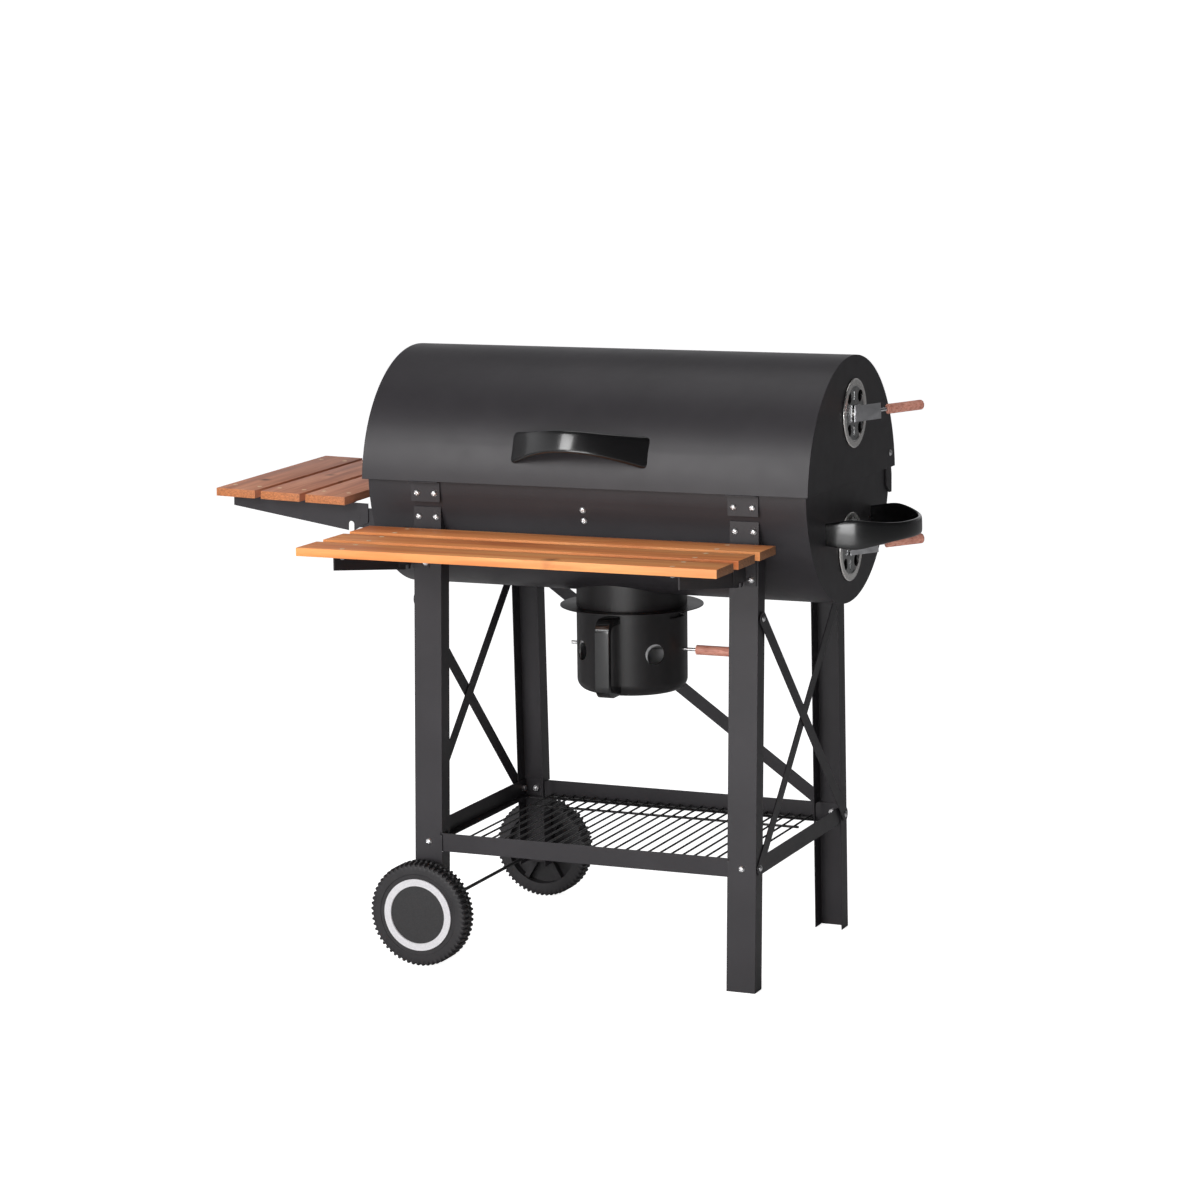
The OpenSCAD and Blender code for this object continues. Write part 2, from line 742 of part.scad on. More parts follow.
// One long brace across the back, from the top of the left leg to the foot of the right
module back_brace() {
    rise = (back_brace_top - rail_mid) / cos(lean);
    color(black) to_back() on_leg(leg_x, rail_mid) translate([0, -clear, 0]) rotate([90, 0, 0])
        rotate([0, 0, atan2(rise, -2 * leg_x)]) flat_bar(norm([2 * leg_x, rise]), sheet);
}

module axle() {
    y1 = wheel_out - 6;
    color(zinc) translate([axle_x, 0, axle_z]) cyl_y(axle_r, -y1, y1);
}

// ---- wheels ----------------------------------------------------------------

module wheel() {
    color([0.12, 0.12, 0.12]) translate([axle_x, 0, axle_z]) difference() {
        union() {
            translate([0, -wheel_in, 0]) rotate([90, 0, 0]) rotate_extrude() tyre_profile();
            cyl_y(15, -wheel_in - 26, -wheel_in - 1);
            for (a = [0:60:300]) rotate([0, a, 0])
                box(-5, 5, -wheel_in - 23, -wheel_in - 6, 12, wheel_r - 22.5);
            cyl_y(wheel_r - 22, -wheel_in - 24, -wheel_in - 21);
        }
        cyl_y(axle_r + fit, -wheel_out - 5, -wheel_in + 5);
    }
}

// Half of the tyre's section: x is the radius, y runs outwards along the axle
module tyre_profile() {
    r_in = wheel_r - 24;
    corner = 7;
    translate([r_in, 0]) square([wheel_r - corner - r_in, wheel_w]);
    translate([wheel_r - corner - 1, corner]) square([corner + 1, wheel_w - 2 * corner]);
    for (y = [corner, wheel_w - corner]) translate([wheel_r - corner, y]) circle(r = corner, $fn = 48);
}

// The hub cap, with a raised ring round a flat disc
module wheel_cap() {
    r_out = 63;
    color([0.85, 0.85, 0.86]) translate([axle_x, -wheel_out + 2, axle_z]) rotate([90, 0, 0])
        rotate_extrude() {
            square([r_out, 1]);
            translate([51, 0]) square([r_out - 51, cap_proud + 2]);
            translate([r_out - 3, -6]) square([3, 7]);
        }
}

module wheel_front() { wheel(); }
module wheel_front_cap() { wheel_cap(); }
module wheel_rear() { to_back() wheel(); }
module wheel_rear_cap() { to_back() wheel_cap(); }

// ---- front shelf -----------------------------------------------------------

module front_board(i) {
    y1 = front_back - i * (board_w + front_gap);
    color(wood) difference() {
        box(front_mid - front_len / 2, front_mid + front_len / 2, y1 - board_w, y1,
            front_top - board_t, front_top);
        for (side = [-1, 1], d = [-24, 24])
            translate([front_arm_x[side < 0 ? 0 : 1] - side * 13, y1 - board_w / 2 + d,
                front_top - board_t]) pilot_hole();
    }
}

// The tapered arm under the front shelf; its flange turns towards the middle
module front_arm(side) {
    x = front_arm_x[side < 0 ? 0 : 1];
    z1 = front_top - board_t;
    flange = [min(x, x - side * arm_flange), max(x, x - side * arm_flange)];
    color(black) difference() {
        union() {
            plate_yz(x - arm_t / 2, x + arm_t / 2)
                polygon([[-505, z1], [-505, z1 - 22], [-247, 687],
                    [-225, 685.5], [-219, 695], [-219, z1]]);
            box(flange[0], flange[1], -505, -250, z1 - arm_t, z1);
        }
        // open slot near the leg
        translate([x, -237, 0]) box(-3, 3, -5.5, 5.5, 600, 701);
        translate([x, -237, 701]) cyl_x(5.5, -3, 3);
        translate([x, front_pivot_y, front_pivot_z]) cyl_x(m6_r + fit, -3, 3);
        for (y = front_screw_y) translate([x - side * 13, y, 0]) cylinder(r = 2.6, h = 900);
    }
}

front_screw_y = [for (i = [0:2], d = [-24, 24])
    front_back - i * (board_w + front_gap) - board_w / 2 + d];

module front_shelf_screws() {
    color(zinc) for (side = [-1, 1], y = front_screw_y)
        translate([front_arm_x[side < 0 ? 0 : 1] - side * 13, y, front_top - board_t - arm_t])
            wood_screw(8);
}

// A wood screw from below, its head on the arm's flange
module wood_screw(bite) {
    translate([0, 0, -2.4]) cylinder(r = 4.5, h = 2.4, $fn = 48);
    translate([0, 0, -0.1]) cylinder(r = 2.2, h = arm_t + bite);
}

module pilot_hole() {
    translate([0, 0, -1]) cylinder(r = 2.3, h = 9.4);
}

// An angle on the leg with an ear and a headed pin that the shelf's arm turns on
module front_hinge(side) {
    x = front_ear_x(side);
    tab = side < 0 ? 31 : 20;
    y_tab = leg_y(740) - 0.4;
    color(black) {
        front_hinge_plate(x, tab, y_tab, side);
        translate([x, front_pivot_y, front_pivot_z]) {
            cyl_x(m6_r, -arm_t - 1.6, 1);
            cyl_x(m6_r + 2, -arm_t - 1.6, -arm_t - 0.6);
        }
    }
}

module front_hinge_plate(x, tab, y_tab, side) {
    difference() {
        union() {
            box(x, x + arm_t, front_pivot_y - 13, y_tab - 1.9, 694, 730);
            box(x, x + tab, y_tab - arm_t - 1.8, y_tab - 1.8, 686, 730);
        }
        translate([ear_bolt_x(side), 0, ear_bolt_z]) cyl_y(m6_hole, -230, -200);
    }
}

// ---- side shelf ------------------------------------------------------------

// The whole side shelf hangs a little off level, turned about its pivots' middle
module side_level() {
    translate([0, side_mid, side_pivot_z]) rotate([side_skew, 0, 0])
        translate([0, -side_mid, -side_pivot_z]) children();
}

// The slope of its boards and arms about the pivots
module side_tilt() {
    side_level() translate([side_pivot_x, 0, side_pivot_z]) rotate([0, side_slope, 0])
        translate([-side_pivot_x, 0, -side_pivot_z]) children();
}

module side_board(i) {
    x1 = side_inner - i * (side_board_w + side_gap);
    color(wood) side_tilt() difference() {
        box(x1 - side_board_w, x1, side_mid - side_len / 2, side_mid + side_len / 2,
            side_top - board_t, side_top);
        for (k = [0, 1], d = [-24, 24])
            translate([x1 - side_board_w / 2 + d, side_arm_y[k] + (k == 0 ? 12 : -12),
                side_top - board_t]) pilot_hole();
    }
}

module side_arm(i) {
    y = side_arm_y[i];
    z1 = side_top - board_t;
    inward = i == 0 ? 1 : -1;
    flange = [min(y, y + inward * arm_flange), max(y, y + inward * arm_flange)];
    color(black) side_tilt() difference() {
        union() {
            plate_xz(y - arm_t / 2, y + arm_t / 2)
                polygon([[-676, z1], [-676, z1 - 20], [-451, 744], [-440, 744], [-413, 760],
                    [-413, z1]]);
            box(-676, -446, flange[0], flange[1], z1 - arm_t, z1);
        }
        translate([-445.5, y, 0]) box(-5.5, 5.5, -3, 3, 700, 755);
        translate([-445.5, y, 755]) cyl_y(5.5, -3, 3);
        translate([side_pivot_x, y, side_pivot_z]) cyl_y(m6_r + fit, -3, 3);
        for (x = side_screw_x) translate([x, y + inward * 12, 0]) cylinder(r = 2.6, h = 900);
    }
}

side_screw_x = [for (i = [0:2], d = [-24, 24])
    side_inner - i * (side_board_w + side_gap) - side_board_w / 2 + d];

module side_shelf_screws() {
    color(zinc) side_tilt() for (i = [0, 1], x = side_screw_x)
        translate([x, side_arm_y[i] + (i == 0 ? 12 : -12), side_top - board_t - arm_t])
            wood_screw(8);
}

side_bolt_z = [758, 776];

// One bent plate on the bowl's left end, with an ear and a pin beside each arm
module side_shelf_bracket() {
    x1 = -bowl_half;
    color(black) side_level() {
        difference() {
            box(x1 - arm_t, x1 - 0.1, side_ear_y[0], side_ear_y[1], 750, 784);
            for (y = side_plate_bolts, z = side_bolt_z) translate([x1, y, z]) cyl_x(m6_hole, -5, 5);
        }
        box(-441, x1 - 1, side_ear_y[0], side_ear_y[0] + arm_t, 750, 784);
        box(-441, x1 - 1, side_ear_y[1] - arm_t, side_ear_y[1], 750, 784);
        translate([side_pivot_x, 0, side_pivot_z]) {
            cyl_y(m6_r, side_arm_y[0] - arm_t / 2, side_ear_y[0] + 1);
            cyl_y(m6_r, side_ear_y[1] - 1, side_arm_y[1] + arm_t / 2);
        }
    }
}

side_ear_y = [side_arm_y[0] + arm_t / 2 + clear, side_arm_y[1] - arm_t / 2 - clear];
side_plate_bolts = [side_mid - 140, side_mid + 140];

// ---- grates ----------------------------------------------------------------

// Wires along Y between two cross wires, centred on x from x0 to x1
module grate(x0, x1, half_y, pitch, z, wire) {
    n = floor((x1 - x0) / pitch);
    start = (x0 + x1) / 2 - n * pitch / 2;
    for (i = [0:n]) translate([start + i * pitch, 0, z + 3 * wire - 0.3]) cyl_y(wire, -half_y, half_y);
    for (y = [-half_y + 3, 0, half_y - 3]) translate([0, y, z + wire]) cyl_x(wire, x0, x1);
}

module cooking_grate_left() { color(zinc) grate(-bowl_half + 6, -2, 196, 19, grate_z + 0.1, 2); }
module cooking_grate_right() { color(zinc) grate(2, bowl_half - 6, 196, 19, grate_z + 0.1, 2); }
module charcoal_grate() { color(black) grate(-bowl_half + 14, bowl_half - 14, 166, 26, coal_z, 2.5); }

// ---- fasteners -------------------------------------------------------------

// The six bolts a leg carries on its outer flange and web
module leg_bolts(s, b) {
    back = b == 1;
    on_leg(s * leg_x, rail_mid) translate([0, back && s > 0 ? -sheet - clear - 0.1 : -0.1, 0])
        bolt_y(12);
    for (d = [-1, 1]) on_leg(s * leg_x + d * bolt_dx, leg_bolt_z) translate([0, -0.1, 0]) bolt_y(17);
    mirror([s < 0 ? 1 : 0, 0, 0]) for (z = [rail_mid, brace_top]) {
        outer = (z == brace_top) == back ? sheet + clear : 2 * sheet + 2 * clear;
        translate([leg_x + leg_w / 2 + outer + 0.1, leg_y(z) + flange_bolt, z])
            rotate([0, 0, 90]) bolt_y(12);
    }
}

module leg_nuts(s, b) {
    on_leg(s * leg_x, rail_mid) translate([0, 2 * sheet + clear + 0.9, 0]) nut_y();
    for (d = [-1, 1]) on_leg(s * leg_x + d * bolt_dx, leg_bolt_z) translate([0, 11.6, 0]) nut_y();
    mirror([s < 0 ? 1 : 0, 0, 0]) for (z = [rail_mid, brace_top]) {
        inner = z == brace_top ? sheet : 2 * sheet + clear;
        translate([leg_x + leg_w / 2 - inner - 0.1, leg_y(z) + flange_bolt, z])
            rotate([0, 0, 90]) nut_y();
    }
}

module m6_bolts() {
    color(zinc) {
        for (b = [0, 1], s = [-1, 1]) mirror([0, b, 0]) leg_bolts(s, b);
        for (b = [0, 1], a = bar_bolt_angle) mirror([0, b, 0])
            on_wall(0, a) translate([0, -0.2, 0]) bolt_y(12);
        for (s = [-1, 1], d = [-1, 1])
            translate([s * leg_x + d * bolt_dx, -bowl_r - 2.1, rest_bolt_z]) bolt_y(12.5);
        to_back() on_leg(-leg_x, back_brace_top) translate([0, -sheet - clear - 0.1, 0]) bolt_y(9);
        for (s = [-1, 1]) mirror([s < 0 ? 1 : 0, 0, 0]) {
            for (x = hinge_tab_bolts) to_back()
                translate([x, -bowl_r - 3.2, hinge_tab_z]) bolt_y(15);
            translate([lid_half + 0.3, hinge_y, hinge_z]) rotate([0, 0, 90]) bolt_y(12);
        }
        for (s = [-1, 1]) translate([ear_bolt_x(s), leg_y(740) - 4.3, ear_bolt_z]) bolt_y(11);
        side_level() for (y = side_plate_bolts, z = side_bolt_z)
            translate([-bowl_half - arm_t - 0.1, y, z]) rotate([0, 0, -90]) bolt_y(10);
    }
}

module m6_nuts() {
    color(zinc) {
        for (b = [0, 1], s = [-1, 1]) mirror([0, b, 0]) leg_nuts(s, b);
        for (b = [0, 1], a = bar_bolt_angle) mirror([0, b, 0])
            on_wall(0, a) translate([0, 4.8, 0]) nut_y();
        for (s = [-1, 1], d = [-1, 1])
            translate([s * leg_x + d * bolt_dx, -bowl_r + 5.2, rest_bolt_z]) nut_y();
        for (b = [0, 1]) mirror([0, b, 0])
            translate([axle_x, -wheel_in - 31.5, axle_z]) nut_y();
        to_back() on_leg(-leg_x, back_brace_top) translate([0, sheet + 0.1, 0]) nut_y();
        for (s = [-1, 1]) mirror([s < 0 ? 1 : 0, 0, 0]) {
            for (x = hinge_tab_bolts) to_back()
                translate([x, -bowl_r + 6.3, hinge_tab_z]) nut_y();
            translate([bowl_half + 0.9, hinge_y, hinge_z]) rotate([0, 0, 90]) nut_y();
        }
        for (s = [-1, 1]) translate([ear_bolt_x(s), leg_y(ear_bolt_z) + sheet + 0.4, ear_bolt_z])
            nut_y();
        side_level() for (y = side_plate_bolts, z = side_bolt_z)
            translate([-bowl_half + sheet + 0.1, y, z]) rotate([0, 0, -90]) nut_y();
    }
}

// ---- assembly --------------------------------------------------------------

translate(origin) {
    bowl();
    leg_front_left();
    leg_front_right();
    leg_rear_left();
    leg_rear_right();
    front_rail();
    rear_rail();
    side_rail_left();
    side_rail_right();
    bottom_rack();
    brace_left_down();
    brace_left_up();
    brace_right_down();
    brace_right_up();
    back_brace();
    axle();
    lid_rest(-1);  // lid_rest_left
    lid_rest(1);  // lid_rest_right
    hinge_plate(-1);  // hinge_plate_left
    hinge_plate(1);  // hinge_plate_right
    bowl_handle();
    grate_bar();
    ash_collar();
    front_hinge(-1);  // front_hinge_left
    front_hinge(1);  // front_hinge_right
    side_shelf_bracket();
    m6_bolts();
    m6_nuts();
    lid();
    lid_handle();
    vent_disc(lid_half, lid_vent_z);  // lid_vent_disc
    vent_lever(lid_half, lid_vent_z);  // lid_vent_lever
    vent_grip(lid_half, lid_vent_z);  // lid_vent_grip
    vent_disc(bowl_half, bowl_vent_z);  // bowl_vent_disc
    vent_lever(bowl_half, bowl_vent_z);  // bowl_vent_lever
    vent_grip(bowl_half, bowl_vent_z);  // bowl_vent_grip
    ash_pot();
    ash_pot_liner();
    ash_pot_handle();
    damper();
    damper_grip();
    front_board(0);  // front_board_1
    front_board(1);  // front_board_2
    front_board(2);  // front_board_3
    front_arm(-1);  // front_arm_left
    front_arm(1);  // front_arm_right
    front_shelf_screws();
    side_board(0);  // side_board_1
    side_board(1);  // side_board_2
    side_board(2);  // side_board_3
    side_arm(0);  // side_arm_front
    side_arm(1);  // side_arm_rear
    side_shelf_screws();
    wheel_front();
    wheel_front_cap();
    wheel_rear();
    wheel_rear_cap();
    cooking_grate_left();
    cooking_grate_right();
    charcoal_grate();
}
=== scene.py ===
"""A barrel charcoal grill on a wheeled stand, with wooden shelves, vents and an ash pot."""

import json
import math

import bmesh
import bpy
import numpy as np
from mathutils import Matrix, Vector


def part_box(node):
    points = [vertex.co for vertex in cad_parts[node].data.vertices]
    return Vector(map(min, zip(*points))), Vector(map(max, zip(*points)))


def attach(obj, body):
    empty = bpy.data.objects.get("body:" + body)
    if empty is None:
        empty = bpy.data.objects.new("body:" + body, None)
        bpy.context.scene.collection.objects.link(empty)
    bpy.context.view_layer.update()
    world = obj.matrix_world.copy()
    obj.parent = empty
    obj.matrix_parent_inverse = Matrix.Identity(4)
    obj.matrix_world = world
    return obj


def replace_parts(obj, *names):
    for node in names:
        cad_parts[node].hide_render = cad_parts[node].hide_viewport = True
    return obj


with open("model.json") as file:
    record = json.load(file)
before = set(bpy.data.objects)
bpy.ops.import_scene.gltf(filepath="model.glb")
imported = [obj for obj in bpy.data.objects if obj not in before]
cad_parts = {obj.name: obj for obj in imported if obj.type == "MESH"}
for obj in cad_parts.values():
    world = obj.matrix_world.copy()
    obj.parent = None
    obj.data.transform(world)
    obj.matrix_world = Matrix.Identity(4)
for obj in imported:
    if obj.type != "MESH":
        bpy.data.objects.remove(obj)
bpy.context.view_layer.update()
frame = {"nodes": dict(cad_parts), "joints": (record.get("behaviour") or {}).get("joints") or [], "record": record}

scene = bpy.context.scene
NODES = frame["nodes"]
BODY_OF = {n: b for b, ns in frame["record"]["behaviour"]["bodies"].items() for n in ns}
SLOT_OF = {s["node"]: s["material_slot"] for s in frame["record"]["subparts"]}
TURN = 2 * math.pi


def joint_at(name):
    """Where a joint's axis passes, in metres."""
    return next(j for j in frame["joints"] if j["name"] == name)["pos_m"]


AXLE = joint_at("front_wheel_spin")

# ---- sizes, in metres ------------------------------------------------------------------------

# head radius, head height and shank radius
BOLT = 0.0058, 0.0036, 0.003
WOOD_SCREW = 0.0045, 0.0024, 0.0022
# a plug's radius, and how far it lies from the head of the screw below it
PLUG_RADIUS = 0.0044
PLUG_REACH = 0.0184
BOARD_EDGE = 0.0013
POT_HANDLE_EDGE = 0.004
# where a wheel cap's silver ring starts, from the axle
CAP_RING = 0.0507
# half the span, how far it bows out and the bow's power, height at the feet and in the middle,
# how sharply it narrows from one to the other, and thickness
LID_HANDLE = 0.1265, 0.067, 1.1, 0.057, 0.038, 2.4, 0.0095
BOWL_HANDLE = 0.121, 0.1229, 0.36, 0.057, 0.029, 4, 0.0075
BOWL_HANDLE_HEIGHT = 0.7615
# the rounding at a handle's two ends
HANDLE_END = 0.011
# the wheels: knobs round the tread, steps in each, their depth, and the rim's depth
KNOBS, STEPS_PER_KNOB = 60, 6
KNOB_DEPTH = 0.0036
RIM_DEPTH = 0.024
# the camera: its place, azimuth, elevation and roll in degrees, and lens and sensor in millimetres
CAMERA_AT = 2.3579, -5.3546, 1.5881
CAMERA_ANGLES = 23.27, 9.17, -0.693
CAMERA_LENS, CAMERA_SENSOR = 105.34, 36
# a light's name, its place, what it faces, its two sides and its power in watts
LIGHTS = (
    ("key", (-1.6, -4.2, 2.9), (0, 0, 0.6), (2.2, 2.2), 126),
    ("front_fill", (0.4, -5.0, 0.7), (0, 0, 0.45), (3.4, 1.1), 100),
    ("overhead", (0, 0.6, 4.0), (0, 0, 0.8), (3, 2.2), 26),
)


# ---- materials -------------------------------------------------------------------------------

class Shader:
    """A Principled material and the small node helpers that its looks are made with."""

    def __init__(self, name, color, rough, metal=0.0, **sockets):
        self.mat = bpy.data.materials.new(name)
        self.mat.use_nodes = True
        self.tree = self.mat.node_tree
        self.bsdf = self.tree.nodes["Principled BSDF"]
        self.bsdf.inputs["Base Color"].default_value = (*color, 1)
        self.bsdf.inputs["Roughness"].default_value = rough
        self.bsdf.inputs["Metallic"].default_value = metal
        for key, value in sockets.items():
            self.bsdf.inputs[key.replace("_", " ")].default_value = value
        self.coords = self.node("ShaderNodeTexCoord").outputs["Object"]
        self.normal = None

    def node(self, kind, **props):
        """Adds a node and sets its properties."""
        n = self.tree.nodes.new(kind)
        for key, value in props.items():
            setattr(n, key, value)
        return n

    def wire(self, a, b):
        """Links an output to an input."""
        self.tree.links.new(a, b)

    def stretched(self, scale, offset=(0, 0, 0), turn=(0, 0, 0)):
        """The object's coordinates, scaled, moved and turned."""
        m = self.node("ShaderNodeMapping")
        m.inputs["Scale"].default_value = scale
        m.inputs["Location"].default_value = offset
        m.inputs["Rotation"].default_value = turn
        self.wire(self.coords, m.inputs["Vector"])
        return m.outputs["Vector"]

    def noise(self, scale, detail=3.0, vector=None, distortion=0.0, rough=0.5):
        """A noise texture's value."""
        n = self.node("ShaderNodeTexNoise")
        n.inputs["Scale"].default_value = scale
        n.inputs["Detail"].default_value = detail
        n.inputs["Distortion"].default_value = distortion
        n.inputs["Roughness"].default_value = rough
        self.wire(vector or self.coords, n.inputs["Vector"])
        return n.outputs["Fac"]

    def ramp(self, fac, *stops):
        """A colour ramp. Each stop is a position and a colour or a grey."""
        r = self.node("ShaderNodeValToRGB")
        e = r.color_ramp.elements
        while len(e) < len(stops):
            e.new(0.5)
        for k, (at, c) in enumerate(stops):
            e[k].position = at
            e[k].color = (*c, 1) if isinstance(c, tuple) else (c, c, c, 1)
        self.wire(fac, r.inputs["Fac"])
        return r.outputs["Color"]

    def mix(self, fac, a, b, blend="MIX"):
        """Blends two colours, each a socket or a plain colour."""
        m = self.node("ShaderNodeMix", data_type="RGBA", blend_type=blend)
        for value, socket in ((fac, m.inputs["Factor"]), (a, m.inputs[6]), (b, m.inputs[7])):
            if isinstance(value, bpy.types.NodeSocket):
                self.wire(value, socket)
            elif isinstance(value, tuple):
                socket.default_value = (*value, 1)
            else:
                socket.default_value = value
        return m.outputs[2]

    def math(self, kind, a, b=0.0):
        """One step of arithmetic on sockets or plain numbers."""
        m = self.node("ShaderNodeMath", operation=kind)
        for value, socket in ((a, m.inputs[0]), (b, m.inputs[1])):
            if isinstance(value, bpy.types.NodeSocket):
                self.wire(value, socket)
            else:
                socket.default_value = value
        return m.outputs["Value"]

    def distance(self, centre, axes):
        """The distance from a point, measured along two of the object's axes."""
        parts = self.node("ShaderNodeSeparateXYZ")
        self.wire(self.coords, parts.inputs[0])
        squares = []
        for axis in axes:
            step = self.math("SUBTRACT", parts.outputs[axis], centre["XYZ".index(axis)])
            squares.append(self.math("MULTIPLY", step, step))
        return self.math("SQRT", self.math("ADD", *squares))

    def color(self, out):
        self.wire(out, self.bsdf.inputs["Base Color"])

    def rough(self, fac, low, high):
        """Varies the roughness from low to high."""
        m = self.node("ShaderNodeMapRange")
        m.inputs["To Min"].default_value = low
        m.inputs["To Max"].default_value = high
        self.wire(fac, m.inputs["Value"])
        self.wire(m.outputs["Result"], self.bsdf.inputs["Roughness"])

    def soft_edges(self, radius):
        """Shades sharp edges as if they were rounded."""
        b = self.node("ShaderNodeBevel", samples=4)
        b.inputs["Radius"].default_value = radius
        self.normal = b.outputs["Normal"]
        self.wire(self.normal, self.bsdf.inputs["Normal"])

    def bump(self, height, distance, strength=1.0):
        """Adds a bump to the normal made so far."""
        b = self.node("ShaderNodeBump")
        b.inputs["Strength"].default_value = strength
        b.inputs["Distance"].default_value = distance
        self.wire(height, b.inputs["Height"])
        if self.normal:
            self.wire(self.normal, b.inputs["Normal"])
        self.normal = b.outputs["Normal"]
        self.wire(self.normal, self.bsdf.inputs["Normal"])


def powder_coat(name, color, rough, edge=0.0008):
    """Satin powder coat: a fine orange peel, a faint mottle and softened sheet edges."""
    s = Shader(name, color, rough, Specular_IOR_Level=0.38)
    mottle = s.noise(9, 4)
    light = tuple(min(1, 1.14 * c) for c in color)
    dark = tuple(0.88 * c for c in color)
    s.color(s.ramp(mottle, (0.3, dark), (0.7, light)))
    s.rough(s.noise(35, 3), rough - 0.04, rough + 0.05)
    s.soft_edges(edge)
    s.bump(s.noise(1400, 2), 0.00006, 0.35)
    return s.mat


def gloss_black(name):
    """Glossy moulded plastic, very slightly uneven."""
    s = Shader(name, (0.006, 0.006, 0.0065), 0.2, Specular_IOR_Level=0.6,
               Coat_Weight=0.35, Coat_Roughness=0.08)
    s.rough(s.noise(60, 4), 0.17, 0.3)
    s.bump(s.noise(220, 3), 0.0001, 0.18)
    return s.mat


def plated(name, color, rough, scratch=0.06, wave=0.0):
    """Bright plate with fine drawn scratches and cloudy patches. wave bends its reflections."""
    s = Shader(name, color, rough, metal=1.0)
    cloudy = s.noise(40, 4)
    s.color(s.ramp(cloudy, (0.3, tuple(0.8 * c for c in color)), (0.7, color)))
    s.rough(s.noise(1, 5, s.stretched((90, 900, 900))), rough - scratch / 2, rough + scratch)
    s.soft_edges(0.0003)
    s.bump(s.noise(500, 2), 0.00003, 0.2)
    if wave:
        s.bump(s.noise(55, 1), wave, 1.0)
    return s.mat


def timber(name, along, tones, knots, seed, end):
    """Softwood with growth bands, long fibres, a few knots and end grain in its own tone.

    along is the axis that the boards run along, "x" or "y", and tones are dark, middle, light."""
    dark, middle, light = tones
    s = Shader(name, middle, 0.48, Specular_IOR_Level=0.4)
    long_x = along == "x"

    def run(lengthwise, across, depth):
        """A scale given along the board, across it and through it."""
        return (lengthwise, across, depth) if long_x else (across, lengthwise, depth)

    bands = s.noise(1, 4, s.stretched(run(2.2, 26, 18), (seed, 0, 0)), 0.6)
    fibre = s.noise(1, 5, s.stretched(run(14, 420, 300), (0, seed, 0)), 0.2, 0.6)
    streak = s.noise(1, 3, s.stretched(run(5, 95, 70), (0, 0, seed)), 0.4)
    patch = s.noise(1, 2, s.stretched(run(4, 9, 9), (seed, seed, 0)))
    c = s.ramp(bands, (0.34, dark), (0.49, middle), (0.66, light))
    c = s.mix(s.ramp(streak, (0.45, 0.0), (0.7, 0.65)), c, dark)
    c = s.mix(s.ramp(patch, (0.35, 0.35), (0.65, 0.0)), c, light)
    strands = s.ramp(fibre, (0.3, tuple(0.55 * k for k in middle)), (0.62, light))
    c = s.mix(0.3, c, strands, "SOFT_LIGHT")
    cells = s.node("ShaderNodeTexVoronoi", feature="F1")
    s.wire(s.stretched(run(*knots), (seed, 0.3 * seed, 0)), cells.inputs["Vector"])
    cells.inputs["Scale"].default_value = 1
    eye = s.math("ADD", cells.outputs["Distance"], s.math("MULTIPLY", s.noise(90, 3), 0.05))
    knot = s.ramp(eye, (0.06, 0.85), (0.09, 0.4), (0.15, 0.0))
    c = s.mix(knot, c, tuple(0.22 * k for k in dark))
    way = s.node("ShaderNodeSeparateXYZ")
    s.wire(s.node("ShaderNodeTexCoord").outputs["Normal"], way.inputs[0])
    facing = s.math("ABSOLUTE", way.outputs["X" if long_x else "Y"])
    at_end = s.math("GREATER_THAN", facing, 0.75)
    rings = s.ramp(s.noise(1, 4, s.stretched((260, 260, 420), turn=(0.4, 0.5, 0.3)), 0.8),
                   (0.35, tuple(0.6 * k for k in end)), (0.65, end))
    s.color(s.mix(at_end, c, rings))
    s.rough(bands, 0.4, 0.58)
    s.bump(fibre, 0.0002, 0.3)
    return s.mat


def turned_wood(name):
    """Turned reddish hardwood with short grain and darker patches."""
    s = Shader(name, (0.42, 0.19, 0.14), 0.5)
    grain = s.noise(1, 5, s.stretched((60, 260, 260)), 0.5)
    patch = s.noise(35, 2)
    c = s.ramp(grain, (0.3, (0.62, 0.22, 0.16)), (0.5, (0.88, 0.39, 0.29)),
               (0.72, (0.96, 0.52, 0.4)))
    s.color(s.mix(s.ramp(patch, (0.4, 0.0), (0.7, 0.35)), c, (0.46, 0.16, 0.12)))
    s.bump(grain, 0.0002, 0.35)
    return s.mat


def moulded(name, color, rough):
    """Matt moulded plastic with a fine spark-eroded texture."""
    s = Shader(name, color, rough, Specular_IOR_Level=0.4)
    dark, light = (tuple(k * c for c in color) for k in (0.8, 1.2))
    s.color(s.ramp(s.noise(30, 4), (0.3, dark), (0.7, light)))
    s.soft_edges(0.0006)
    s.bump(s.noise(900, 2), 0.00008, 0.4)
    return s.mat


def hub_cap(name):
    """A silver ring round a dark disc, told apart by the distance from the axle."""
    s = Shader(name, (0.6, 0.6, 0.62), 0.35)
    ring = s.math("GREATER_THAN", s.distance(AXLE, "XZ"), CAP_RING)
    grain = s.noise(500, 3)
    silver = s.ramp(grain, (0.3, (0.62, 0.61, 0.63)), (0.7, (0.74, 0.73, 0.75)))
    disc = s.ramp(grain, (0.3, (0.022, 0.0215, 0.0225)), (0.7, (0.032, 0.031, 0.033)))
    s.color(s.mix(ring, disc, silver))
    s.bump(s.noise(1100, 2), 0.00008, 0.4)
    return s.mat


